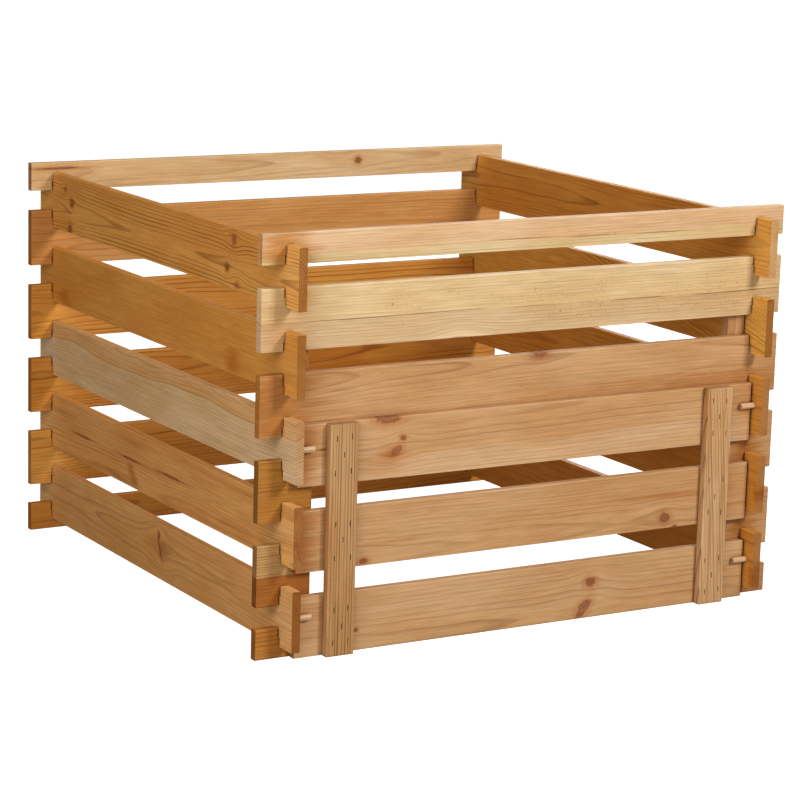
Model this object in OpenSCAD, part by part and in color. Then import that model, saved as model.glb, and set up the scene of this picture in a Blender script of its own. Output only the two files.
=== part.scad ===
// Square compost bin of plug-together boards, with a lift-out hatch at the front.
// X runs along the front wall, Y from the front to the back, Z up. The origin is on the ground
// below the middle of the bin. All sizes are in millimetres.

/* [Bin] */
// Length of the boards of the front and back walls
bin_width = 1000; // [800:10:1300]
// Length of the boards of the side walls
bin_depth = 1000; // [800:10:1300]
// Length of each board's end past the wall that it crosses
overhang = 42; // [32:1:80]
// Number of boards in each side wall
courses = 5; // [4:1:8]

/* [Boards] */
// Height of a full board; the top and base boards of the front and back are half as high
board_height = 100; // [85:1:140]
// Thickness of every board
board_thickness = 15; // [13:0.5:22]
// Depth of the notch in a long edge where two boards cross
notch_depth = 16; // [8:1:18]
// Slack of a notch across the board that it takes
notch_play = 5; // [0.4:0.2:6]
// Rounding of the long edges of the boards, battens and posts
arris = 1.5; // [0.5:0.5:4]

/* [Front opening] */
// Number of full boards of the front wall that are cut away, above the base board
opening_rows = 2; // [1:1:3]
// Length of the stub boards left on both sides of the opening
stub_length = 95; // [90:1:160]
// Width of the flat corner post that joins the stubs
post_width = 33; // [24:1:60]
// Thickness of the corner post
post_thickness = 20; // [16:1:26]
// Gap between a corner post and the side wall
post_gap = 3; // [0.5:0.5:6]
// Height of the corner post above the lower edge of the first board over the opening
post_rise = 185; // [100:5:200]

/* [Hatch] */
// Height by which the hatch laps over the board above the opening
hatch_lap = 20; // [5:1:35]
// Gap between each end of the hatch and the side wall's inner face
hatch_end_gap = 4; // [1:0.5:8]
// Gap between the hatch and the front wall behind it
hatch_back_gap = 0.5; // [0.3:0.1:3]
// Width of an upright batten
batten_width = 50; // [30:1:80]
// Thickness of an upright batten
batten_thickness = 15; // [10:0.5:22]
// Distance from the end of the hatch to the batten
batten_inset = 50; // [40:1:120]

/* [Pegs] */
// Diameter of a peg
peg_diameter = 10; // [6:1:12]
// Length of a peg that stands out of the side wall, in front of the hatch
peg_reach = 30; // [15:1:34]
// Depth of the blind hole that the peg is glued in
peg_set = 10; // [5:1:12]
// Gap between a peg and the hatch behind it
peg_gap = 1; // [0.5:0.5:4]
// Slack of the hole across the peg
peg_play = 0.1; // [0.05:0.05:0.5]

/* [Staples] */
// Length of a staple's crown
staple_crown = 9; // [6:1:12]
// Width of the wire, seen on the crown
wire_width = 1.4; // [0.8:0.1:2]
// Thickness of the wire
wire_thickness = 1; // [0.6:0.1:1.5]
// Depth of the crown's outer face below the face of the wood
staple_sink = 0.4; // [0:0.1:1]
// Reach of the legs into the board behind the batten or post
staple_bite = 10; // [4:1:11]
// Share of the batten's width, and of a board's height, that the outer staples lie off the middle
staple_spread = 0.28; // [0.15:0.01:0.35]
// Largest distance by which a hand-driven staple is off its place
staple_scatter = 2; // [0:0.5:4]
// Slack of the staple's slot on each side of the wire
staple_play = 0.05; // [0.02:0.01:0.2]

/* [Hidden] */
pitch = 2*(board_height - 2*notch_depth);
bin_height = courses*pitch;
stub_rows = opening_rows + 1;
full_rows = courses - stub_rows;
// Middle planes of the walls, which are also the middles of the notches
wall_x = bin_width/2 - overhang - board_thickness/2;
wall_y = bin_depth/2 - overhang - board_thickness/2;
inner_x = wall_x - board_thickness/2;
front_face = -wall_y - board_thickness/2;
front_inner_face = -wall_y + board_thickness/2;

hatch_y = front_face - hatch_back_gap - board_thickness/2;
hatch_face = hatch_y - board_thickness/2;
hatch_half = inner_x - hatch_end_gap;
hatch_height = row_low(full_rows) + hatch_lap;
hatch_pitch = (hatch_height - board_height)/opening_rows;
batten_x = hatch_half - batten_inset - batten_width/2;
batten_face = hatch_face - batten_thickness;

peg_y = hatch_face - peg_gap - peg_diameter/2;
peg_chamfer = peg_diameter/10;
upper_peg_course = courses - opening_rows;

post_x = inner_x - post_gap - post_width/2;
post_back = front_inner_face + post_thickness;
post_height = row_low(full_rows) + post_rise;
post_leg = post_thickness - staple_sink + staple_bite;
batten_leg = batten_thickness - staple_sink + staple_bite;

// Rows of the front and back walls count down from 0, the half board at the top
function row_low(row) = max(0, bin_height - row*pitch - board_height/2);
function row_high(row) = min(bin_height, bin_height - row*pitch + board_height/2);
// Courses of the side walls count down from 1
function course_z(course) = bin_height - (course - 1/2)*pitch;
// Boards of the hatch count up from 0
function hatch_z(i) = board_height/2 + i*hatch_pitch;

// Staples of a batten: two above, one amid and two below on each hatch board
staple_pattern = [[-1, 1], [1, 1], [0, 0], [-1, -1], [1, -1]]*staple_spread;
function scattered(places, seed) =
    let (drift = rands(-staple_scatter, staple_scatter, 2*len(places), seed))
    [for (i = [0 : len(places) - 1]) [places[i].x + drift[2*i], places[i].y + drift[2*i + 1]]];
function batten_staples(side) = scattered(
    [for (i = [0 : opening_rows], p = staple_pattern)
        [side*batten_x + p.x*batten_width, hatch_z(i) + p.y*board_height]], 7 + side);
// Staples of a post: two in each full stub and one in the half stub at the ground
function post_staples(side) =
    [for (row = [full_rows + 1 : courses], p = row == courses ? [0] : [-1, 1])
        [side*post_x, (row_low(row) + row_high(row))/2 + p*staple_spread*board_height]];

round_fn = 32;
peach = [0.87, 0.69, 0.49];
pale = [0.89, 0.75, 0.51];
honey = [0.81, 0.60, 0.36];
tan = [0.76, 0.58, 0.40];
brown = [0.68, 0.47, 0.28];
steel = [0.45, 0.43, 0.41];
front_tones = [peach, pale, tan, honey, tan, brown, honey, tan, pale];
side_tones = [honey, tan, peach, honey, brown, tan, honey, pale];
hatch_tones = [tan, peach, tan, honey];

// Section of a piece of timber with rounded arrises, centred on the origin
module timber_section(width, height) {
    square([width - 2*arris, height], center = true);
    square([width, height - 2*arris], center = true);
    for (x = [-1, 1], y = [-1, 1])
        translate([x*(width/2 - arris), y*(height/2 - arris)])
            circle(r = arris, $fn = round_fn);
}

// Notch that reaches notch_depth into a board along X from its edge at this height
module notch(x, edge) {
    translate([x, 0, edge])
        cube([board_thickness + notch_play, 2*board_thickness, 2*notch_depth], center = true);
}

// Board along X, centred on y = 0, with notches at the crossings in the edges asked for
module board(from, to, low, high, crossings = [], notch_above = true, notch_below = true) {
    difference() {
        translate([from, 0, (low + high)/2])
            rotate([90, 0, 90])
                linear_extrude(to - from)
                    timber_section(board_thickness, high - low);
        for (x = crossings) {
            if (notch_above) notch(x, high);
            if (notch_below) notch(x, low);
        }
    }
}

// Board of the front or back wall in one row, between two ends
module row_board(y, row, from, to, crossings) {
    color(front_tones[row])
        translate([0, y, 0])
            board(from, to, row_low(row), row_high(row), crossings, row > 0, row < courses);
}

module full_board(y, row) {
    row_board(y, row, -bin_width/2, bin_width/2, [-wall_x, wall_x]);
}

module front_stub(side, row) {
    end = side*bin_width/2;
    inner_end = side*(bin_width/2 - stub_length);
    difference() {
        row_board(-wall_y, row, min(end, inner_end), max(end, inner_end), [side*wall_x]);
        staple_slots(post_staples(side), post_back, -1, post_leg);
    }
}

// Side board along Y; a board in a peg's course has a blind hole for the peg in its inner face
module side_board(side, course) {
    low = course_z(course) - board_height/2;
    color(side_tones[(course + side) % len(side_tones)])
        difference() {
            translate([side*wall_x, 0, 0])
                rotate([0, 0, 90])
                    board(-bin_depth/2, bin_depth/2, low, low + board_height, [-wall_y, wall_y]);
            if (course == upper_peg_course || course == courses)
                peg_shape(side, course, peg_diameter + peg_play, 0);
        }
}

// Round bar along X from the bottom of its hole in the side wall to its free end
module peg_shape(side, course, diameter, chamfer) {
    translate([side*(inner_x + peg_set), peg_y, course_z(course)])
        rotate([0, -90*side, 0]) {
            cylinder(d = diameter, h = peg_set + peg_reach - chamfer, $fn = round_fn);
            if (chamfer > 0)
                translate([0, 0, peg_set + peg_reach - chamfer])
                    cylinder(d1 = diameter, d2 = diameter - 2*chamfer, h = chamfer, $fn = round_fn);
        }
}

module peg(side, course) {
    color(pale) peg_shape(side, course, peg_diameter, peg_chamfer);
}

// Flat post behind the stubs, from the ground up behind the boards over the opening
module corner_post(side) {
    color(tan)
        difference() {
            translate([side*post_x, front_inner_face + post_thickness/2, 0])
                linear_extrude(post_height) timber_section(post_width, post_thickness);
            staple_slots(post_staples(side), post_back, -1, post_leg);
        }
}

module hatch_board(i) {
    color(hatch_tones[i])
        difference() {
            translate([0, hatch_y, 0])
                board(-hatch_half, hatch_half, hatch_z(i) - board_height/2, hatch_z(i) + board_height/2);
            for (side = [-1, 1])
                staple_slots(batten_staples(side), batten_face, 1, batten_leg);
        }
}

module hatch_batten(side) {
    color(pale)
        difference() {
            translate([side*batten_x, batten_face + batten_thickness/2, 0])
                linear_extrude(hatch_height) timber_section(batten_width, batten_thickness);
            staple_slots(batten_staples(side), batten_face, 1, batten_leg);
        }
}

// Staple with its crown along Z at y = 0 and its legs along +Y, their tips cut to a point
module staple(leg) {
    half = staple_crown/2;
    inner = half - wire_thickness;
    rotate([90, 0, 90])
        linear_extrude(wire_width, center = true)
            polygon([[0, -half], [leg - wire_thickness, -half], [leg, -inner], [wire_thickness, -inner],
                     [wire_thickness, inner], [leg, inner], [leg - wire_thickness, half], [0, half]]);
}

// Slot that a staple leaves in the wood, open at the face at y = 0
module staple_slot(leg) {
    width = wire_width + 2*staple_play;
    length = staple_crown + 2*staple_play;
    wall = wire_thickness + 2*staple_play;
    depth = staple_sink + wire_thickness + staple_play;
    translate([-width/2, -1, -length/2]) cube([width, depth + 1, length]);
    for (z = [-length/2, length/2 - wall])
        translate([-width/2, 0, z]) cube([width, staple_sink + leg + staple_play, wall]);
}

// Staples or slots at places on a face; inward is 1 where they are driven towards +Y, or -1
module staples(places, face, inward, leg) {
    color(steel)
        for (p = places)
            translate([p.x, face + inward*staple_sink, p.y])
                rotate([0, 0, inward > 0 ? 0 : 180]) staple(leg);
}

module staple_slots(places, face, inward, leg) {
    for (p = places)
        translate([p.x, face, p.y])
            rotate([0, 0, inward > 0 ? 0 : 180]) staple_slot(leg);
}

full_board(-wall_y, 0);  // front_top_board
for (row = [1 : full_rows])
    full_board(-wall_y, row);
for (i = [1 : stub_rows]) {
    front_stub(-1, full_rows + i);
    front_stub(1, full_rows + i);
}
full_board(wall_y, 0);  // back_top_board
for (row = [1 : courses - 1])
    full_board(wall_y, row);
full_board(wall_y, courses);  // back_base_board
for (course = [1 : courses]) {
    side_board(-1, course);
    side_board(1, course);
}
corner_post(-1);  // left_corner_post
corner_post(1);  // right_corner_post
peg(-1, upper_peg_course);  // left_upper_peg
peg(-1, courses);  // left_lower_peg
peg(1, upper_peg_course);  // right_upper_peg
peg(1, courses);  // right_lower_peg
for (i = [0 : opening_rows])
    hatch_board(i);
hatch_batten(-1);  // hatch_left_batten
hatch_batten(1);  // hatch_right_batten
staples(batten_staples(-1), batten_face, 1, batten_leg);  // left_batten_staples
staples(batten_staples(1), batten_face, 1, batten_leg);  // right_batten_staples
staples(post_staples(-1), post_back, -1, post_leg);  // left_post_staples
staples(post_staples(1), post_back, -1, post_leg);  // right_post_staples
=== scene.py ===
# Looks of the wooden compost bin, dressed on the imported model. Every length is in metres.
import math
from collections import namedtuple

import bpy
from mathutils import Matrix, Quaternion, Vector


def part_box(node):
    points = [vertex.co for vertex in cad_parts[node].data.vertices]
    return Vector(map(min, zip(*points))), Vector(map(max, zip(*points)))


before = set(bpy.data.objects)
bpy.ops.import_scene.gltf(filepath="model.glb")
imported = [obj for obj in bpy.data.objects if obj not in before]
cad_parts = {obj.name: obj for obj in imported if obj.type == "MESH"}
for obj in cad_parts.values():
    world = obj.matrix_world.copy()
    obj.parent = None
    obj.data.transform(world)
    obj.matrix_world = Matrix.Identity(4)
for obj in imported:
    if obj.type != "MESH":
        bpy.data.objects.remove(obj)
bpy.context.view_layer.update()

MM = 0.001


# Shader tree helpers

# Numbers of a Mix node's colour sockets, whose names its other sockets have too
MIX_AMOUNT, MIX_FIRST, MIX_SECOND, MIX_RESULT = 0, 6, 7, 2
# How much the finer detail of a noise counts
NOISE_ROUGHNESS = 0.55


def feed(tree, socket, value):
    """Links another node's output to a socket, or sets a plain value on it; a colour is opaque."""
    if isinstance(value, bpy.types.NodeSocket):
        tree.links.new(value, socket)
    elif socket.type == "RGBA":
        socket.default_value = (*value, 1.0)
    else:
        socket.default_value = value


def calc(tree, operation, *values):
    """Math node on numbers."""
    node = tree.nodes.new("ShaderNodeMath")
    node.operation = operation
    for socket, value in zip(node.inputs, values):
        feed(tree, socket, value)
    return node.outputs[0]


def times(tree, *values):
    """Product of several numbers."""
    product = values[0]
    for value in values[1:]:
        product = calc(tree, "MULTIPLY", product, value)
    return product


def weighed(tree, total, *parts):
    """A number plus the sum of several values, each times its weight."""
    for value, weight in parts:
        total = calc(tree, "MULTIPLY_ADD", value, weight, total)
    return total


def swing(tree, value, width):
    """A value between 0 and 1, stretched to a width and moved to swing about 0."""
    return calc(tree, "MULTIPLY_ADD", value, width, -width / 2)


def ease(tree, value, low, high, to_low=0.0, to_high=1.0):
    """Smooth step from to_low to to_high as a value goes from low to high."""
    node = tree.nodes.new("ShaderNodeMapRange")
    node.interpolation_type = "SMOOTHSTEP"
    for name, number in (("Value", value), ("From Min", low), ("From Max", high),
                         ("To Min", to_low), ("To Max", to_high)):
        feed(tree, node.inputs[name], number)
    return node.outputs[0]


def fade(tree, value, low, high):
    """Smooth step from 1 to 0 as a value goes from low to high."""
    return ease(tree, value, low, high, 1.0, 0.0)


def vector_calc(tree, operation, *values):
    """Math node on vectors; it gives a number for a length and a vector otherwise."""
    node = tree.nodes.new("ShaderNodeVectorMath")
    node.operation = operation
    for socket, value in zip(node.inputs, values):
        feed(tree, socket, value)
    return node.outputs["Value" if operation == "LENGTH" else "Vector"]


def scaled(tree, vector, number):
    """A vector times a number."""
    node = tree.nodes.new("ShaderNodeVectorMath")
    node.operation = "SCALE"
    feed(tree, node.inputs[0], vector)
    feed(tree, node.inputs["Scale"], number)
    return node.outputs[0]


def split(tree, vector):
    """The three parts of a vector."""
    node = tree.nodes.new("ShaderNodeSeparateXYZ")
    feed(tree, node.inputs[0], vector)
    return list(node.outputs)


def join(tree, x, y, z):
    """A vector from three numbers."""
    node = tree.nodes.new("ShaderNodeCombineXYZ")
    for socket, value in zip(node.inputs, (x, y, z)):
        feed(tree, socket, value)
    return node.outputs[0]


def noise(tree, place, pattern, output="Fac"):
    """Noise of about 0.3 to 0.7, with the features and the detail that a pattern names."""
    node = tree.nodes.new("ShaderNodeTexNoise")
    features = (pattern.along, pattern.through, pattern.across)
    feed(tree, node.inputs["Vector"], vector_calc(tree, "MULTIPLY", place, features))
    node.inputs["Scale"].default_value = 1.0
    node.inputs["Detail"].default_value = pattern.detail
    node.inputs["Roughness"].default_value = NOISE_ROUGHNESS
    return node.outputs[output]


def mix(tree, amount, first, second, way="MIX"):
    """Mixes two colours."""
    node = tree.nodes.new("ShaderNodeMix")
    node.data_type = "RGBA"
    node.blend_type = way
    feed(tree, node.inputs[MIX_AMOUNT], amount)
    feed(tree, node.inputs[MIX_FIRST], first)
    feed(tree, node.inputs[MIX_SECOND], second)
    return node.outputs[MIX_RESULT]


def tinted(tree, amount, colour, tint):
    """A colour multiplied by a tint, as far as amount says."""
    return mix(tree, amount, colour, tint, "MULTIPLY")


def new_group(name, inputs, outputs):
    """Shader node group with named sockets; it gives the tree, its inputs and its outputs."""
    tree = bpy.data.node_groups.new(name, "ShaderNodeTree")
    for title, kind in inputs:
        tree.interface.new_socket(title, in_out="INPUT", socket_type="NodeSocket" + kind)
    for title, kind in outputs:
        tree.interface.new_socket(title, in_out="OUTPUT", socket_type="NodeSocket" + kind)
    given = tree.nodes.new("NodeGroupInput").outputs
    made = tree.nodes.new("NodeGroupOutput").inputs
    return tree, {s.name: s for s in given if s.name}, {s.name: s for s in made if s.name}


def use(tree, group, **values):
    """Places a group in a tree; an underscore in a value's name stands for a space."""
    node = tree.nodes.new("ShaderNodeGroup")
    node.node_tree = group
    for name, value in values.items():
        feed(tree, node.inputs[name.replace("_", " ")], value)
    return {s.name: s for s in node.outputs}


def new_material(name):
    """Material, with its node tree and the inputs of its shader."""
    material = bpy.data.materials.new(name)
    material.use_nodes = True
    tree = material.node_tree
    return material, tree, tree.nodes["Principled BSDF"].inputs


def coat_node(node, material):
    """Puts a material on every slot of a CAD node."""
    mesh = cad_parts[node].data
    if not mesh.materials:
        mesh.materials.append(material)
    for i in range(len(mesh.materials)):
        mesh.materials[i] = material


# Patterns in the wood

# Features a metre along the grain, through the timber and across it, and the fineness of their detail
Pattern = namedtuple("Pattern", "along through across detail")
SWAY_PATTERN = Pattern(2.4, 3.0, 3.0, 2.0)
WAVER_PATTERN = Pattern(5.0, 26.0, 26.0, 2.0)
FADING_PATTERN = Pattern(6.0, 24.0, 24.0, 2.0)
BREAK_PATTERN = Pattern(9.0, 9.0, 9.0, 2.0)
CLOUD_PATTERN = Pattern(5.0, 14.0, 14.0, 3.0)
STREAK_PATTERN = Pattern(3.2, 90.0, 60.0, 3.0)
FIBRE_PATTERN = Pattern(20.0, 600.0, 600.0, 4.0)
SPECK_PATTERN = Pattern(280.0, 420.0, 420.0, 1.0)
NICK_PATTERN = Pattern(45.0, 150.0, 150.0, 2.0)
KNOT_PATTERN = Pattern(100.0, 0.0, 100.0, 4.0)
STAIN_AND_SHADE_PATTERN = Pattern(14.0, 40.0, 110.0, 4.0)
# Step through the patterns from one seed to the next
SEED_STEP = (3.17, 5.31, 7.93)

# How squarely a face cuts the grain before it is end grain
END_GRAIN = (0.6, 0.9)


def own_axes(tree, vector, turn, centre=(0.0, 0.0, 0.0)):
    """A vector of the shared frame along the timber's own axes, from its centre."""
    node = tree.nodes.new("ShaderNodeMapping")
    node.vector_type = "TEXTURE"
    feed(tree, node.inputs["Vector"], vector)
    feed(tree, node.inputs["Location"], centre)
    feed(tree, node.inputs["Rotation"], turn)
    return node.outputs[0]


def make_timber_space():
    """Place on a piece of timber: x along its grain, y through its thickness, z across its width."""
    tree, given, made = new_group(
        "timber space", [("Centre", "Vector"), ("Turn", "Vector")],
        [("Place", "Vector"), ("End", "Float")])
    where = tree.nodes.new("ShaderNodeTexCoord")
    facing = own_axes(tree, where.outputs["Normal"], given["Turn"])
    facing_along = calc(tree, "ABSOLUTE", split(tree, facing)[0])
    feed(tree, made["Place"], own_axes(tree, where.outputs["Object"], given["Turn"], given["Centre"]))
    feed(tree, made["End"], ease(tree, facing_along, *END_GRAIN))
    return tree


# Where the disc, dark rim, core and halo of a knot begin and end, in radii from its middle
KNOT_DISC = (0.6, 1.2)
KNOT_RIM = (0.35, 0.85)
KNOT_CORE = (0.0, 0.5)
KNOT_HALO = (0.6, 2.6)
# How dark its core is beside its rim
CORE_SHARE = 0.7
# How ragged its outline is, in radii
KNOT_RAGGED = 1.3
# Reach of the bent grain round it, in radii, and how strongly the grain is pulled
BEND_ALONG = 2.5
BEND_ACROSS = 2.4
BEND_PULL = 0.85


def make_knot():
    """Knot through the timber: the grain is bent round it, and Marks holds its disc, rim and halo."""
    tree, given, made = new_group(
        "knot", [("Place", "Vector"), ("Marks", "Vector"), ("Along", "Float"), ("Across", "Float"),
                 ("Size", "Float"), ("Stretch", "Float"), ("Depth", "Float"), ("Lean", "Float")],
        [("Place", "Vector"), ("Marks", "Vector")])
    size = given["Size"]
    x, y, z = split(tree, given["Place"])
    off_z = calc(tree, "SUBTRACT", z, given["Across"])
    off_x = calc(tree, "SUBTRACT", calc(tree, "SUBTRACT", x, given["Along"]),
                 times(tree, off_z, given["Lean"]))
    # Its marks follow the distance from its middle in radii
    round_x = calc(tree, "DIVIDE", off_x, times(tree, size, given["Stretch"]))
    round_z = calc(tree, "DIVIDE", off_z, size)
    reach = vector_calc(tree, "LENGTH", join(tree, round_x, 0.0, round_z))
    ragged = swing(tree, noise(tree, given["Place"], KNOT_PATTERN), KNOT_RAGGED)
    reach = calc(tree, "ADD", reach, ragged)
    disc = fade(tree, reach, *KNOT_DISC)
    rim = times(tree, ease(tree, reach, *KNOT_RIM), disc)
    core = times(tree, fade(tree, reach, *KNOT_CORE), CORE_SHARE)
    halo = fade(tree, reach, *KNOT_HALO)
    marks = scaled(tree, join(tree, disc, calc(tree, "MAXIMUM", rim, core), halo), given["Depth"])
    feed(tree, made["Marks"], vector_calc(tree, "MAXIMUM", given["Marks"], marks))
    # The bend of the grain reaches further along the timber than across it
    far_x = calc(tree, "DIVIDE", off_x, times(tree, size, calc(tree, "ADD", given["Stretch"], BEND_ALONG)))
    far_z = calc(tree, "DIVIDE", off_z, times(tree, size, BEND_ACROSS))
    squares = calc(tree, "ADD", times(tree, far_x, far_x), times(tree, far_z, far_z))
    pull = times(tree, calc(tree, "EXPONENT", times(tree, squares, -1.0)), BEND_PULL)
    bent_z = calc(tree, "SUBTRACT", z, times(tree, off_z, pull))
    feed(tree, made["Place"], join(tree, x, y, bent_z))
    return tree


# Where a stain or patch of painted shade begins to fade and ends, and how ragged its outline is, as shares
# of its reach
STAIN_AND_SHADE_FADE = (0.1, 1.3)
STAIN_AND_SHADE_RAGGED = 1.6


def make_stain_and_shade():
    """Soft patch where the wood took up more oil or holds resin; some patches are painted shade instead."""
    tree, given, made = new_group(
        "oil resin and painted shade patch", [("Place", "Vector"), ("Stain", "Float"), ("Middle", "Vector"), ("Reach", "Vector"),
                      ("Depth", "Float"), ("Lean", "Float")], [("Stain", "Float")])
    off = vector_calc(tree, "SUBTRACT", given["Place"], given["Middle"])
    shift = times(tree, split(tree, off)[2], given["Lean"])
    off = vector_calc(tree, "SUBTRACT", off, join(tree, shift, 0.0, 0.0))
    off = vector_calc(tree, "DIVIDE", off, given["Reach"])
    # It goes right through the timber, so its place through the thickness doesn't count
    far = vector_calc(tree, "LENGTH", vector_calc(tree, "MULTIPLY", off, (1.0, 0.0, 1.0)))
    ragged = swing(tree, noise(tree, given["Place"], STAIN_AND_SHADE_PATTERN), STAIN_AND_SHADE_RAGGED)
    patch = times(tree, fade(tree, calc(tree, "ADD", far, ragged), *STAIN_AND_SHADE_FADE), given["Depth"])
    feed(tree, made["Stain"], calc(tree, "MAXIMUM", given["Stain"], patch))
    return tree


# Width within which a ring's line wavers
WAVER = 1.8 * MM
# Spells of wet or dry years for each ring, and how many rings such a spell shifts
SPELLS = 0.31
SPELL_SHIFT = 1.2
# Parts of a ring in which it darkens slowly, darkens fast and ends, and what each adds to its dark
SLOW_RISE = (0.2, 0.9)
FAST_RISE = (0.72, 0.9)
RING_END = (0.95, 1.0)
SLOW_SHARE = 0.15
FAST_SHARE = 0.85
# Noise levels between weak and strong rings, and how strong the weak ones are
SPELL_LEVELS = (0.35, 0.62)
WEAK_IN_SPELL = 0.5
FADING_LEVELS = (0.3, 0.6)
WEAK_WHERE_FADED = 0.45


def pith_distance(tree, given, spot):
    """Distance from the pith, which runs at a slope to the timber and bows to its face at both ends."""
    along = split(tree, given["Place"])[0]
    off = vector_calc(tree, "SUBTRACT", given["Place"], given["Pith"])
    off = vector_calc(tree, "SUBTRACT", off, scaled(tree, given["Slope"], along))
    off = vector_calc(tree, "ADD", off, join(tree, 0.0, times(tree, along, along, given["Bow"]), 0.0))
    sway = vector_calc(tree, "SUBTRACT", noise(tree, spot, SWAY_PATTERN, "Color"), (0.5, 0.5, 0.5))
    off = vector_calc(tree, "ADD", off, scaled(tree, sway, given["Wave"]))
    radius = vector_calc(tree, "LENGTH", vector_calc(tree, "MULTIPLY", off, (0.0, 1.0, 1.0)))
    return calc(tree, "ADD", radius, swing(tree, noise(tree, spot, WAVER_PATTERN), WAVER))


def late_wood(tree, given, spot, radius):
    """Dark late wood: each ring darkens slowly, then fast, and ends sharply."""
    count = calc(tree, "DIVIDE", radius, given["Ring"])
    # Spells of wet and dry years make the rings uneven
    years = tree.nodes.new("ShaderNodeTexNoise")
    years.noise_dimensions = "1D"
    feed(tree, years.inputs["W"], calc(tree, "MULTIPLY_ADD", count, SPELLS, given["Seed"]))
    years.inputs["Scale"].default_value = 1.0
    years.inputs["Detail"].default_value = 1.0
    spell = years.outputs["Fac"]
    part = calc(tree, "FRACT", calc(tree, "ADD", count, times(tree, spell, SPELL_SHIFT)))
    late = weighed(tree, 0.0, (ease(tree, part, *SLOW_RISE), SLOW_SHARE),
                   (ease(tree, part, *FAST_RISE), FAST_SHARE))
    late = times(tree, late, fade(tree, part, *RING_END))
    in_spell = ease(tree, spell, *SPELL_LEVELS, WEAK_IN_SPELL, 1.0)
    in_place = ease(tree, noise(tree, spot, FADING_PATTERN), *FADING_LEVELS, WEAK_WHERE_FADED, 1.0)
    return times(tree, late, in_spell, in_place)


# Half the width of the heartwood's soft edge, and the fade of the resin line that follows it
HEART_EDGE = 1.5 * MM
SEAM_FADE = (0.3 * MM, 1.2 * MM)
# Noise levels between which each pattern goes from nothing to full; specks gather in the browner areas
BREAK_LEVELS = (0.35, 0.6)
STREAK_LEVELS = (0.5, 0.72)
SPECK_LEVELS = (0.67, 0.74)
SPECK_AREA_LEVELS = (0.42, 0.6)


def make_rings():
    """Growth rings round a pith that lies off the timber: late wood, heartwood, streaks and fibres."""
    tree, given, made = new_group(
        "growth rings",
        [("Place", "Vector"), ("Seed", "Float"), ("Pith", "Vector"), ("Slope", "Vector"),
         ("Bow", "Float"), ("Ring", "Float"), ("Wave", "Float"), ("Heart", "Float")],
        [("Late", "Float"), ("Heartwood", "Float"), ("Seam", "Float"), ("Streak", "Float"),
         ("Fibre", "Float"), ("Speck", "Float"), ("Cloud", "Float")])
    spot = vector_calc(tree, "ADD", given["Place"], scaled(tree, SEED_STEP, given["Seed"]))
    radius = pith_distance(tree, given, spot)
    outside = calc(tree, "SUBTRACT", radius, given["Heart"])
    seam = fade(tree, calc(tree, "ABSOLUTE", outside), *SEAM_FADE)
    breaks = ease(tree, noise(tree, spot, BREAK_PATTERN), *BREAK_LEVELS)
    cloud = noise(tree, spot, CLOUD_PATTERN)
    speck = ease(tree, noise(tree, spot, SPECK_PATTERN), *SPECK_LEVELS)
    feed(tree, made["Late"], late_wood(tree, given, spot, radius))
    feed(tree, made["Heartwood"], fade(tree, outside, -HEART_EDGE, HEART_EDGE))
    feed(tree, made["Seam"], times(tree, seam, breaks))
    feed(tree, made["Streak"], ease(tree, noise(tree, spot, STREAK_PATTERN), *STREAK_LEVELS))
    feed(tree, made["Fibre"], noise(tree, spot, FIBRE_PATTERN))
    feed(tree, made["Speck"], times(tree, speck, ease(tree, cloud, *SPECK_AREA_LEVELS)))
    feed(tree, made["Cloud"], cloud)
    return tree


# How unevenly and how wide the arrises are worn, and how far from its ends a board dries out
NICK = 3 * MM
ARRIS_FADE = (0.6 * MM, 2.6 * MM)
TIP_FADE = (20 * MM, 110 * MM)


def make_edges():
    """How near a spot on a piece of timber is to its long arrises and to its ends."""
    tree, given, made = new_group(
        "timber edges", [("Place", "Vector"), ("Half", "Vector")], [("Arris", "Float"), ("Tip", "Float")])
    inside = vector_calc(tree, "SUBTRACT", given["Half"], vector_calc(tree, "ABSOLUTE", given["Place"]))
    from_tip, from_face, from_edge = split(tree, inside)
    nick = swing(tree, noise(tree, given["Place"], NICK_PATTERN), NICK)
    from_arris = calc(tree, "ADD", calc(tree, "MAXIMUM", from_face, from_edge), nick)
    feed(tree, made["Arris"], fade(tree, from_arris, *ARRIS_FADE))
    feed(tree, made["Tip"], fade(tree, from_tip, *TIP_FADE))
    return tree


# Tints that darken or bleach the wood
LATE_TINT = (0.34, 0.20, 0.09)
STREAK_TINT = (0.66, 0.50, 0.32)
SEAM_TINT = (0.42, 0.34, 0.24)
# The stain tint also darkens the patches of painted shade
STAIN_AND_SHADE_TINT = (0.74, 0.52, 0.26)
DRY_TINT = (1.25, 1.50, 2.00)
HALO_TINT = (0.78, 0.50, 0.30)
BROWN_TINT = (0.92, 0.84, 0.72)
SPECK_TINT = (0.45, 0.33, 0.20)
WORN_TINT = (1.16, 1.20, 1.30)
# Painted shade in notches and joints
CREVICE_SHADE_TINT = (0.36, 0.22, 0.12)
# Colours of a knot, and how much of the wood's own colour its parts cover
DISC_COLOUR = (0.30, 0.10, 0.035)
RIM_COLOUR = (0.10, 0.035, 0.015)
HALO_COVER = 0.8
DISC_COVER = 0.85
RIM_COVER = 0.65
# How much stronger the rings show on end grain, where the oil soaks in
END_FIGURE = 0.2
# Noise levels of the browner areas and of the fibres, and the fibres' darkest and palest tones
BROWN_LEVELS = (0.35, 0.65)
FIBRE_LEVELS = (0.3, 0.7)
FIBRE_TONES = (0.90, 1.10)
# How far from a corner the painted shade reaches, and how shut in a spot is where it shows
CREVICE_SHADE_REACH = 9 * MM
CREVICE_SHADE_LEVELS = (0.15, 0.6)
CREVICE_SHADE_SAMPLES = 4
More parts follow.
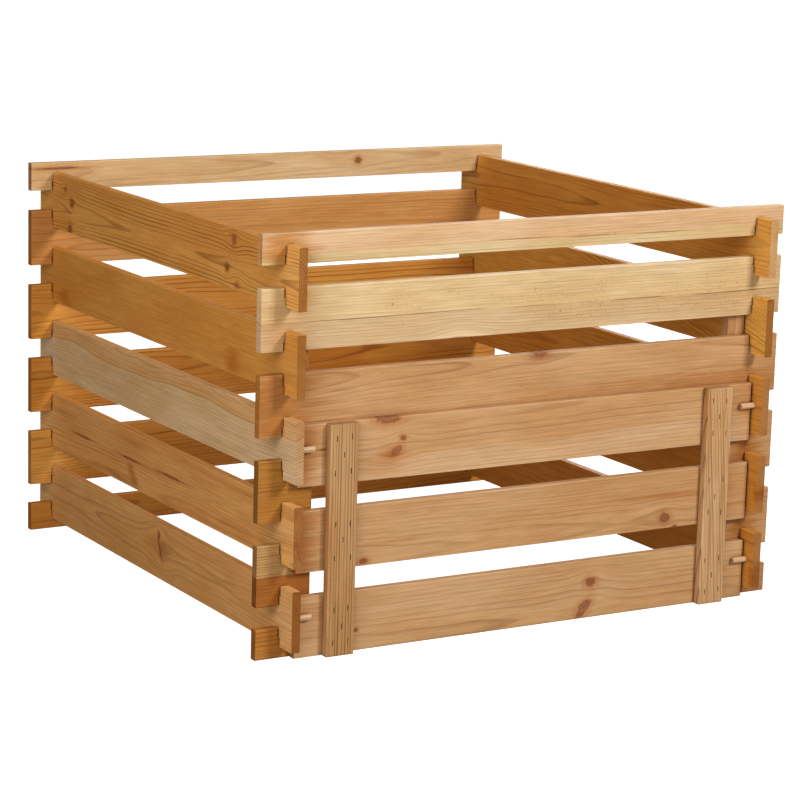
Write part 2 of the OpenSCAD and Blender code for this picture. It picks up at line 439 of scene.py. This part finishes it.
# Roughness of plain wood, and what late wood, end grain and the browner areas add to it
PLAIN_ROUGHNESS = 0.42
LATE_ROUGHNESS = -0.10
END_ROUGHNESS = 0.25
BROWN_ROUGHNESS = 0.2
# How far late wood and fibres stand out, and specks and the rims of knots lie deep
LATE_RELIEF = 0.5
FIBRE_RELIEF = 0.8
SPECK_RELIEF = -0.5
RIM_RELIEF = -0.8


def painted_crevice_shade(tree):
    """How shut in a spot is, in a notch or where two pieces touch; the colour is darkened there as painted
    shade.
    """
    node = tree.nodes.new("ShaderNodeAmbientOcclusion")
    node.samples = CREVICE_SHADE_SAMPLES
    node.inputs["Distance"].default_value = CREVICE_SHADE_REACH
    return fade(tree, node.outputs["AO"], *CREVICE_SHADE_LEVELS)


def make_pine():
    """Colour, roughness and height of planed, oiled pine, darkened by painted shade in notches and joints.
    """
    tree, given, made = new_group(
        "oiled pine",
        [("Place", "Vector"), ("End", "Float"), ("Marks", "Vector"), ("Stain", "Float"),
         ("Half", "Vector"), ("Seed", "Float"), ("Pith", "Vector"), ("Slope", "Vector"),
         ("Bow", "Float"), ("Ring", "Float"), ("Wave", "Float"), ("Heart", "Float"),
         ("Sap Colour", "Color"), ("Heart Colour", "Color"), ("Figure", "Float"),
         ("Streaks", "Float"), ("Seam", "Float"), ("Specks", "Float"), ("Dry Ends", "Float"),
         ("End Tint", "Color")],
        [("Colour", "Color"), ("Roughness", "Float"), ("Height", "Float")])
    wood = use(tree, RINGS_GROUP, **{name: given[name] for name in (
        "Place", "Seed", "Pith", "Slope", "Bow", "Ring", "Wave", "Heart")})
    edges = use(tree, EDGES_GROUP, Place=given["Place"], Half=given["Half"])
    disc, rim, halo = split(tree, given["Marks"])
    end = given["End"]
    # Heartwood and sapwood, with their rings, resin and oil, and patches of painted shade
    colour = mix(tree, wood["Heartwood"], given["Sap Colour"], given["Heart Colour"])
    figure = calc(tree, "ADD", given["Figure"], times(tree, end, END_FIGURE))
    colour = tinted(tree, times(tree, wood["Late"], figure), colour, LATE_TINT)
    colour = tinted(tree, times(tree, wood["Streak"], given["Streaks"]), colour, STREAK_TINT)
    colour = tinted(tree, times(tree, wood["Seam"], given["Seam"]), colour, SEAM_TINT)
    colour = tinted(tree, given["Stain"], colour, STAIN_AND_SHADE_TINT)
    colour = tinted(tree, times(tree, edges["Tip"], given["Dry Ends"]), colour, DRY_TINT)
    colour = tinted(tree, times(tree, halo, HALO_COVER), colour, HALO_TINT)
    # Browner areas, fibres, specks and knots
    colour = tinted(tree, ease(tree, wood["Cloud"], *BROWN_LEVELS), colour, BROWN_TINT)
    fibre = ease(tree, wood["Fibre"], *FIBRE_LEVELS, *FIBRE_TONES)
    colour = tinted(tree, 1.0, colour, join(tree, fibre, fibre, fibre))
    colour = tinted(tree, times(tree, wood["Speck"], given["Specks"]), colour, SPECK_TINT)
    colour = mix(tree, times(tree, disc, DISC_COVER), colour, DISC_COLOUR)
    colour = mix(tree, times(tree, rim, RIM_COVER), colour, RIM_COLOUR)
    # End grain, worn arrises, and painted shade in every notch and joint
    colour = tinted(tree, end, colour, given["End Tint"])
    worn = times(tree, edges["Arris"], calc(tree, "SUBTRACT", 1.0, end))
    colour = tinted(tree, worn, colour, WORN_TINT)
    # Painted shade: darkens the colour where the spot is shut in
    colour = tinted(tree, painted_crevice_shade(tree), colour, CREVICE_SHADE_TINT)
    feed(tree, made["Colour"], colour)
    feed(tree, made["Roughness"],
         weighed(tree, PLAIN_ROUGHNESS, (wood["Late"], LATE_ROUGHNESS), (end, END_ROUGHNESS),
                 (wood["Cloud"], BROWN_ROUGHNESS)))
    feed(tree, made["Height"],
         weighed(tree, 0.0, (wood["Late"], LATE_RELIEF), (wood["Fibre"], FIBRE_RELIEF),
                 (wood["Speck"], SPECK_RELIEF), (rim, RIM_RELIEF)))
    return tree


SPACE_GROUP = make_timber_space()
KNOT_GROUP = make_knot()
STAIN_AND_SHADE_GROUP = make_stain_and_shade()
RINGS_GROUP = make_rings()
EDGES_GROUP = make_edges()
PINE_GROUP = make_pine()


# Boards

# Turn of the timber's own axes when its grain runs along X, Y or Z
GRAIN_TURN = {"X": (0.0, 0.0, 0.0), "Y": (0.0, 0.0, math.pi / 2), "Z": (0.0, -math.pi / 2, 0.0)}
# The shared frame's axes in the order along the grain, through the thickness, across the width
GRAIN_ORDER = {"X": (0, 1, 2), "Y": (1, 0, 2), "Z": (2, 1, 0)}

# Base colours of the oiled wood between its late wood lines: the pale ones, the golden and the dark
CREAM = (0.68, 0.515, 0.28)
STRAW = (0.71, 0.525, 0.285)
ASH = (0.75, 0.52, 0.28)
PEACH = (0.70, 0.465, 0.27)
OAT = (0.64, 0.45, 0.25)
SAND = (0.61, 0.38, 0.20)
WHEAT = (0.58, 0.35, 0.17)
TAN = (0.56, 0.325, 0.15)
FAWN = (0.50, 0.29, 0.125)
SAFFRON = (0.84, 0.45, 0.09)
GOLD = (0.74, 0.43, 0.18)
HONEY = (0.73, 0.38, 0.125)
MARIGOLD = (0.75, 0.365, 0.105)
AMBER = (0.76, 0.355, 0.078)
APRICOT = (0.68, 0.345, 0.11)
RUSSET = (0.70, 0.31, 0.055)
OCHRE = (0.51, 0.31, 0.12)
COPPER = (0.49, 0.21, 0.04)
BRONZE = (0.415, 0.183, 0.03)
# A darker copy of the posts' wood, as painted shade on the left post
SHADED_UMBER = (0.42, 0.19, 0.045)
CHESTNUT = (0.36, 0.125, 0.02)

# Tints of end grain, from dried pale to soaked in oil
BRIGHT_END = (1.05, 1.05, 1.15)
GOLDEN_END = (1.05, 0.97, 0.65)
PEACH_END = (0.97, 0.80, 0.60)
SAWN_END = (0.84, 0.82, 0.85)
PALE_END = (0.68, 0.77, 1.5)
BROWN_END = (0.64, 0.55, 0.48)
GREY_END = (0.56, 0.56, 0.90)
DULL_END = (0.44, 0.37, 0.32)
DARK_END = (0.40, 0.29, 0.20)
OILY_END = (0.34, 0.21, 0.08)

# Marks on a piece, in millimetres: the place along and across the timber in the shared frame, a knot's
# radius and its stretch along the grain, or a patch's reach along and across, the depth from 0 to 1, and
# the lean, which is the way along the timber for each step across it. A knot with no depth only bends
# the grain. A patch is a stain of oil or resin, and some patches are painted shade.
Knot = namedtuple("Knot", "along across radius stretch depth lean", defaults=(0.0,))
Stain = namedtuple("Stain", "along across reach_along reach_across depth lean", defaults=(0.0,))


def add_stains_and_shade(tree, place, stains_and_shade, on_timber):
    """Chain of patches, of soaked oil and resin and of painted shade; it gives how much each spot is
    darkened.
    """
    stained_and_shaded = 0.0
    for stain in stains_and_shade:
        along, across = on_timber(stain)
        reach = (stain.reach_along * MM, 1.0, stain.reach_across * MM)
        stained_and_shaded = use(tree, STAIN_AND_SHADE_GROUP, Place=place, Stain=stained_and_shaded, Middle=(along, 0.0, across),
                      Reach=reach, Depth=stain.depth, Lean=stain.lean)["Stain"]
    return stained_and_shaded


def add_knots(tree, place, knots, on_timber):
    """Chain of knots; it gives the place in the bent grain, and the knots' marks."""
    marks = (0.0, 0.0, 0.0)
    for knot in knots:
        along, across = on_timber(knot)
        bent = use(tree, KNOT_GROUP, Place=place, Marks=marks, Along=along, Across=across,
                   Size=knot.radius * MM, Stretch=knot.stretch, Depth=knot.depth, Lean=knot.lean)
        place, marks = bent["Place"], bent["Marks"]
    return place, marks


# Relief of the wood's surface, and how glossy its oil is
RELIEF_STRENGTH = 0.6
RELIEF_DEPTH = 0.25 * MM
PINE_GLOSS = 0.25


def timber(node, grain, sap, heart=None, seed=1, pith=(45, 8), slope=(0.01, 0.005), bow=0.0, ring=4.2,
           wave=14, heart_at=0, figure=0.6, streaks=0.15, seam=0.0, specks=0.5, dry_ends=0.0,
           end_tint=BROWN_END, knots=(), stains_and_shade=()):
    """Pine material for one CAD node; lengths are in millimetres.
    sap and heart are the colours of the sapwood and the heartwood, and heart_at is the heartwood's radius
    round the pith. pith is the pith's place through and across the timber from its middle, slope how it
    drifts along the timber, and bow how it curves to the face at both ends. ring is the width of a ring,
    and wave how far the grain wanders. figure, streaks, seam, specks and dry_ends say how strongly the
    rings, resin streaks, resin line, specks and bleached ends show, from 0 to about 1."""
    low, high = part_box(node)
    centre = (low + high) / 2
    half = (high - low) / 2
    order = GRAIN_ORDER[grain]
    side = -1.0 if grain == "Z" else 1.0

    def on_timber(mark):
        """Place of a mark along and across the timber, from the timber's centre."""
        return mark.along * MM - centre[order[0]], side * (mark.across * MM - centre[order[2]])

    material, tree, shader = new_material(node + "_pine")
    space = use(tree, SPACE_GROUP, Centre=centre, Turn=GRAIN_TURN[grain])
    stained_and_shaded = add_stains_and_shade(tree, space["Place"], stains_and_shade, on_timber)
    place, marks = add_knots(tree, space["Place"], knots, on_timber)
    wood = use(tree, PINE_GROUP, Place=place, End=space["End"], Marks=marks, Stain=stained_and_shaded,
               Half=[half[i] for i in order], Seed=float(seed), Pith=(0.0, pith[0] * MM, pith[1] * MM),
               Slope=(0.0, *slope), Bow=bow, Ring=ring * MM, Wave=wave * MM, Heart=heart_at * MM,
               Sap_Colour=sap, Heart_Colour=heart or sap, Figure=figure, Streaks=streaks, Seam=seam,
               Specks=specks, Dry_Ends=dry_ends, End_Tint=end_tint)
    relief = tree.nodes.new("ShaderNodeBump")
    relief.inputs["Strength"].default_value = RELIEF_STRENGTH
    relief.inputs["Distance"].default_value = RELIEF_DEPTH
    feed(tree, relief.inputs["Height"], wood["Height"])
    feed(tree, shader["Base Color"], wood["Colour"])
    feed(tree, shader["Roughness"], wood["Roughness"])
    feed(tree, shader["Normal"], relief.outputs[0])
    feed(tree, shader["Specular IOR Level"], PINE_GLOSS)
    coat_node(node, material)


def dress_front():
    """Pale boards above the opening."""
    # The patches at the boards' left ends are partly oil soaked into the ends and partly painted shade from
    # the ears beside them
    timber("front_top_board", "X", CREAM, heart=PEACH, seed=1, pith=(30, 70), ring=4.4, heart_at=86,
           figure=0.35, wave=6, end_tint=PEACH_END,
           knots=[Knot(-20, 649, 0.8, 60, 0.6), Knot(110, 647, 0.8, 60, 0.6), Knot(250, 646, 0.8, 60, 0.6)],
           stains_and_shade=[Stain(-455, 650, 55, 60, 1.0)])
    timber("front_board_2", "X", STRAW, heart=OAT, seed=2, pith=(28, -85), ring=4.8, heart_at=86,
           figure=0.4, wave=6, seam=0.9, specks=1.0, streaks=0.1, end_tint=BRIGHT_END,
           knots=[Knot(-140, 484, 12, 1.6, 0.0)],
           stains_and_shade=[Stain(-450, 545, 60, 60, 0.5)])
    timber("front_board_3", "X", TAN, seed=3, pith=(40, 40), ring=4.0, figure=0.4, bow=0.03,
           end_tint=GOLDEN_END,
           knots=[Knot(16, 459, 7, 1.8, 1.0)],
           stains_and_shade=[Stain(-480, 410, 120, 110, 1.0), Stain(420, 385, 400, 26, 0.7)])


def dress_hatch():
    """The hatch's three boards and its two battens."""
    # The patches at the left ends of hatch boards 3 and 2 are partly oil soaked into the ends and partly
    # painted shade from the ears beside them; the patch at the right end of board 3 is painted shade of the
    # slot beside the ear
    timber("hatch_board_3", "X", SAND, heart=TAN, seed=4, pith=(60, 50), ring=5.2, figure=0.45,
           streaks=0.1, wave=10, heart_at=92, specks=0.2,
           knots=[Knot(-277, 377, 9, 2.4, 0.9), Knot(-249, 344, 5, 1.1, 1.0),
                  Knot(-261, 324, 10, 0.8, 0.7, 0.6), Knot(-390, 336, 1.5, 7.0, 1.0)],
           stains_and_shade=[Stain(-270, 318, 30, 16, 0.8), Stain(-290, 300, 60, 20, 0.5),
                   Stain(-432, 340, 34, 120, 0.9), Stain(432, 345, 30, 120, 0.35)])
    # Partly painted shade: the patch at this board's left end also stands for the ear's shade
    timber("hatch_board_2", "X", TAN, seed=5, pith=(48, -35), ring=4.4, figure=0.4,
           knots=[Knot(-317, 147, 5, 1.6, 1.0), Knot(270, 158, 8, 1.2, 1.0), Knot(290, 143, 4, 1.2, 1.0)],
           stains_and_shade=[Stain(260, 196, 140, 6, 0.7), Stain(-250, 174, 60, 4, 0.5),
                   Stain(-432, 190, 34, 120, 0.9)])
    timber("hatch_board_1", "X", WHEAT, seed=6, pith=(60, -40), ring=5.0, figure=0.45,
           knots=[Knot(123, 61, 8, 1.2, 1.0), Knot(111, 19, 16, 0.65, 0.8, 0.5),
                  Knot(-327, 34, 3, 1.3, 1.0)])
    timber("hatch_left_batten", "Z", FAWN, seed=64, pith=(-8, 90), ring=6.0, wave=5, figure=1.3,
           streaks=0.6, end_tint=SAWN_END)
    timber("hatch_right_batten", "Z", WHEAT, seed=65, pith=(-20, 80), ring=6.5, slope=(0.0, 0.08),
           wave=20, figure=0.8, streaks=0.6, specks=1.0, end_tint=SAWN_END)


def dress_stubs():
    """Short boards on both sides of the opening, and the posts behind them."""
    timber("left_front_stub_1", "X", BRONZE, seed=11, pith=(20, 30), ring=4.4, figure=0.55)
    timber("left_front_stub_2", "X", OCHRE, heart=CHESTNUT, seed=12, pith=(10, -70), ring=4.4,
           figure=0.8, heart_at=72)
    timber("left_front_stub_3", "X", COPPER, seed=13, pith=(20, 30), ring=4.4)
    # Painted shade: the right stubs are darkened at their ends beside the hatch, where the hatch and the
    # ears shade them
    for i, middle in ((1, 274), (2, 138), (3, 2)):
        timber(f"right_front_stub_{i}", "X", TAN, seed=13 + i, pith=(20, 30), ring=4.4,
               stains_and_shade=[Stain(445, middle, 38, 200, 1.0)])
    # Painted shade: the left post has a darker colour than the right one, for the shade it stands in
    timber("left_corner_post", "Z", SHADED_UMBER, seed=54)
    timber("right_corner_post", "Z", TAN, seed=55)


def dress_back():
    """Back wall, from the top down."""
    timber("back_top_board", "X", ASH, seed=20, figure=0.4,
           knots=[Knot(174, 661, 6, 1.2, 1.0), Knot(-448, 669, 2.0, 20, 1.0)],
           stains_and_shade=[Stain(-470, 655, 120, 40, 0.3)])
    timber("back_board_2", "X", APRICOT, seed=22, pith=(45, -20), figure=0.5,
           stains_and_shade=[Stain(-480, 544, 90, 120, 0.35)])
    timber("back_board_3", "X", RUSSET, seed=23, pith=(45, 0), figure=0.8)
    timber("back_board_4", "X", RUSSET, seed=24, pith=(45, 20), figure=0.8,
           stains_and_shade=[Stain(90, 340, 220, 300, 0.8)])
    timber("back_board_5", "X", RUSSET, seed=25, pith=(45, 40), figure=0.8, dry_ends=0.9)
    timber("back_base_board", "X", RUSSET, seed=26)


def dress_left():
    """Left wall, from the top down."""
    timber("left_board_1", "Y", AMBER, seed=31, pith=(44.75, -9), figure=1.1, wave=5, streaks=0.1,
           slope=(-0.003, 0.0), bow=0.03, dry_ends=0.8, end_tint=DARK_END,
           knots=[Knot(387, 638, 5, 1.0, 0.6), Knot(358, 617, 7, 1.1, 1.0), Knot(366, 571, 7, 1.0, 1.0),
                  Knot(-280, 644, 9, 0.8, 0.7), Knot(-257, 595, 6, 1.0, 1.0),
                  Knot(-292, 572, 8, 1.0, 0.3)])
    timber("left_board_2", "Y", RUSSET, seed=32, pith=(50, -20), figure=0.3, dry_ends=0.25,
           end_tint=DULL_END,
           stains_and_shade=[Stain(-280, 447, 30, 24, 0.8), Stain(387, 441, 30, 16, 0.8)])
    timber("left_board_3", "Y", ASH, heart=GOLD, seed=33, pith=(34, 62), heart_at=49, wave=60,
           dry_ends=0.35)
    timber("left_board_4", "Y", MARIGOLD, seed=34, pith=(42, -40), streaks=0.5, dry_ends=0.9,
           end_tint=DARK_END,
           knots=[Knot(302, 202, 2.0, 16, 1.0), Knot(102, 203, 2.0, 18, 1.0),
                  Knot(-63, 207, 2.0, 21, 1.0)],
           stains_and_shade=[Stain(92, 176, 19, 27, 1.0, 0.8)])
    timber("left_board_5", "Y", HONEY, seed=35, pith=(52, 6), figure=0.4, dry_ends=0.6,
           end_tint=OILY_END,
           knots=[Knot(-20, 72, 18, 0.15, 1.0, 0.43), Knot(-15, 81, 5, 0.8, 1.0)],
           stains_and_shade=[Stain(-15, 72, 60, 24, 0.5)])


def dress_right():
    """Right wall, from the top down, seen mostly from inside."""
    timber("right_board_1", "Y", RUSSET, seed=41, pith=(-45, 10), dry_ends=1.0, end_tint=PALE_END)
    timber("right_board_2", "Y", SAFFRON, seed=42, pith=(-60, 70), slope=(0.0, 0.24), ring=3.2,
           figure=1.1, end_tint=DARK_END,
           stains_and_shade=[Stain(-100, 478, 330, 300, 0.6)])
    timber("right_board_3", "Y", RUSSET, seed=43, pith=(-45, 0), figure=0.5, end_tint=GREY_END)
    # Painted shade: a dark patch at the front ends of boards 4 and 5, in the slot beside the hatch's end
    timber("right_board_4", "Y", RUSSET, seed=44, pith=(-45, 10), figure=0.3, end_tint=GREY_END,
           stains_and_shade=[Stain(-499, 186, 10, 14, 1.0)])
    timber("right_board_5", "Y", RUSSET, seed=45, pith=(-45, 20), figure=0.5, end_tint=GREY_END,
           stains_and_shade=[Stain(-500, 38, 14, 30, 1.0)])


def dress_pegs():
    """Pale dowels in the side walls' ears."""
    for side, seed in (("left", 79), ("right", 80)):
        for part in ("upper", "lower"):
            timber(f"{side}_{part}_peg", "X", PEACH, seed=seed, ring=2.0)


# Staple wire: its colour and roughness where it is bare and where it browned, and the noise between. Both
# colours are much darker than steel, as painted shade of the slots the staples sit sunk in
WIRE_PATTERN = Pattern(300.0, 300.0, 300.0, 3.0)
WIRE_LEVELS = (0.42, 0.62)
SHADED_BARE_STEEL = (0.05, 0.032, 0.02)
SHADED_BROWNED_STEEL = (0.02, 0.012, 0.008)
WIRE_ROUGHNESS = (0.45, 0.7)


def dress_staples():
    """Dull steel wire, a little browned, and painted dark for the shade of its sunk slots."""
    material, tree, shader = new_material("staple_wire")
    where = tree.nodes.new("ShaderNodeTexCoord").outputs["Object"]
    browned = ease(tree, noise(tree, where, WIRE_PATTERN), *WIRE_LEVELS)
    feed(tree, shader["Base Color"], mix(tree, browned, SHADED_BARE_STEEL, SHADED_BROWNED_STEEL))
    feed(tree, shader["Roughness"], ease(tree, browned, 0.0, 1.0, *WIRE_ROUGHNESS))
    feed(tree, shader["Metallic"], 1.0)
    for node in ("left_batten_staples", "right_batten_staples", "left_post_staples", "right_post_staples"):
        coat_node(node, material)


# Studio

# Camera, found from the corners of the bin in the photograph; its lens and sensor are in millimetres
# and its roll in degrees
CAMERA_PLACE = (-2.47098, -4.23072, 1.31544)
CAMERA_AIM = (0.02152, 0.0, 0.28949)
CAMERA_LENS = 126.464
CAMERA_SENSOR = 36.0
CAMERA_ROLL = 1.6385

WHITE = (1.0, 1.0, 1.0)
# The floor reaches far beyond the view and lies just below the ground face
FLOOR_REACH = 60.0
FLOOR_HEIGHT = -0.5 * MM
FLOOR_GREY = (0.5, 0.5, 0.5)
FLOOR_ROUGHNESS = 0.9
# Warm light of the surroundings, and how bright they look behind the bin
ROOM_TONE = (1.0, 0.74, 0.46)
ROOM_STRENGTH = 0.17
BACKDROP_STRENGTH = 1.1
# The lights shine on the middle of the bin
LIGHT_AIM = (0.0, 0.0, 0.35)


def camera_looks(tree):
    """1 where the camera looks straight at a surface, and 0 for the light that comes off it."""
    return tree.nodes.new("ShaderNodeLightPath").outputs["Is Camera Ray"]


def add_object(name, data):
    """Puts a mesh, a light or a camera in the scene."""
    thing = bpy.data.objects.new(name, data)
    bpy.context.scene.collection.objects.link(thing)
    return thing


def point_at(thing, place, aim, roll=0.0):
    """Stands a light or the camera at a place and turns it to its aim; the roll is in degrees."""
    thing.location = place
    thing.rotation_mode = "QUATERNION"
    towards = (Vector(aim) - Vector(place)).to_track_quat("-Z", "Y")
    thing.rotation_quaternion = towards @ Quaternion((0.0, 0.0, 1.0), math.radians(roll))


def make_floor():
    """Wide pale floor under the bin, which looks white like a lit studio sweep."""
    mesh = bpy.data.meshes.new("floor")
    corners = [(x * FLOOR_REACH, y * FLOOR_REACH, FLOOR_HEIGHT)
               for x, y in ((-1, -1), (1, -1), (1, 1), (-1, 1))]
    mesh.from_pydata(corners, [], [(0, 1, 2, 3)])
    floor = add_object("floor", mesh)
    material, tree, shader = new_material("floor_paper")
    feed(tree, shader["Base Color"], FLOOR_GREY)
    feed(tree, shader["Roughness"], FLOOR_ROUGHNESS)
    feed(tree, shader["Specular IOR Level"], 0.0)
    feed(tree, shader["Emission Color"], WHITE)
    feed(tree, shader["Emission Strength"], camera_looks(tree))
    mesh.materials.append(material)


def make_light(name, place, size, power):
    """Square soft light."""
    data = bpy.data.lights.new(name, "AREA")
    data.shape = "SQUARE"
    data.size = size
    data.energy = power
    point_at(add_object(name, data), place, LIGHT_AIM)


def make_world():
    """Even surroundings that light with a warm tone but are white to the camera."""
    world = bpy.data.worlds.new("studio")
    world.use_nodes = True
    tree = world.node_tree
    shader = tree.nodes["Background"].inputs
    looks = camera_looks(tree)
    feed(tree, shader["Strength"], ease(tree, looks, 0.0, 1.0, ROOM_STRENGTH, BACKDROP_STRENGTH))
    feed(tree, shader["Color"], mix(tree, looks, ROOM_TONE, WHITE))
    bpy.context.scene.world = world


def make_camera():
    """Camera at the photograph's place, with its slight roll."""
    data = bpy.data.cameras.new("camera")
    data.lens = CAMERA_LENS
    data.sensor_width = CAMERA_SENSOR
    camera = add_object("camera", data)
    point_at(camera, CAMERA_PLACE, CAMERA_AIM, CAMERA_ROLL)
    bpy.context.scene.camera = camera


def make_studio():
    """Camera, floor, surroundings and four lights."""
    make_camera()
    make_floor()
    make_world()
    make_light("key", place=(1.1, -3.4, 2.3), size=0.9, power=90.0)
    make_light("fill", place=(-2.3, -2.0, 1.5), size=1.8, power=46.0)
    make_light("top", place=(0.3, 0.2, 3.4), size=1.8, power=18.0)
    make_light("rear", place=(2.6, 2.6, 1.5), size=1.8, power=36.0)
    bpy.context.scene.view_settings.view_transform = "Standard"


dress_front()
dress_hatch()
dress_stubs()
dress_back()
dress_left()
dress_right()
dress_pegs()
dress_staples()
make_studio()
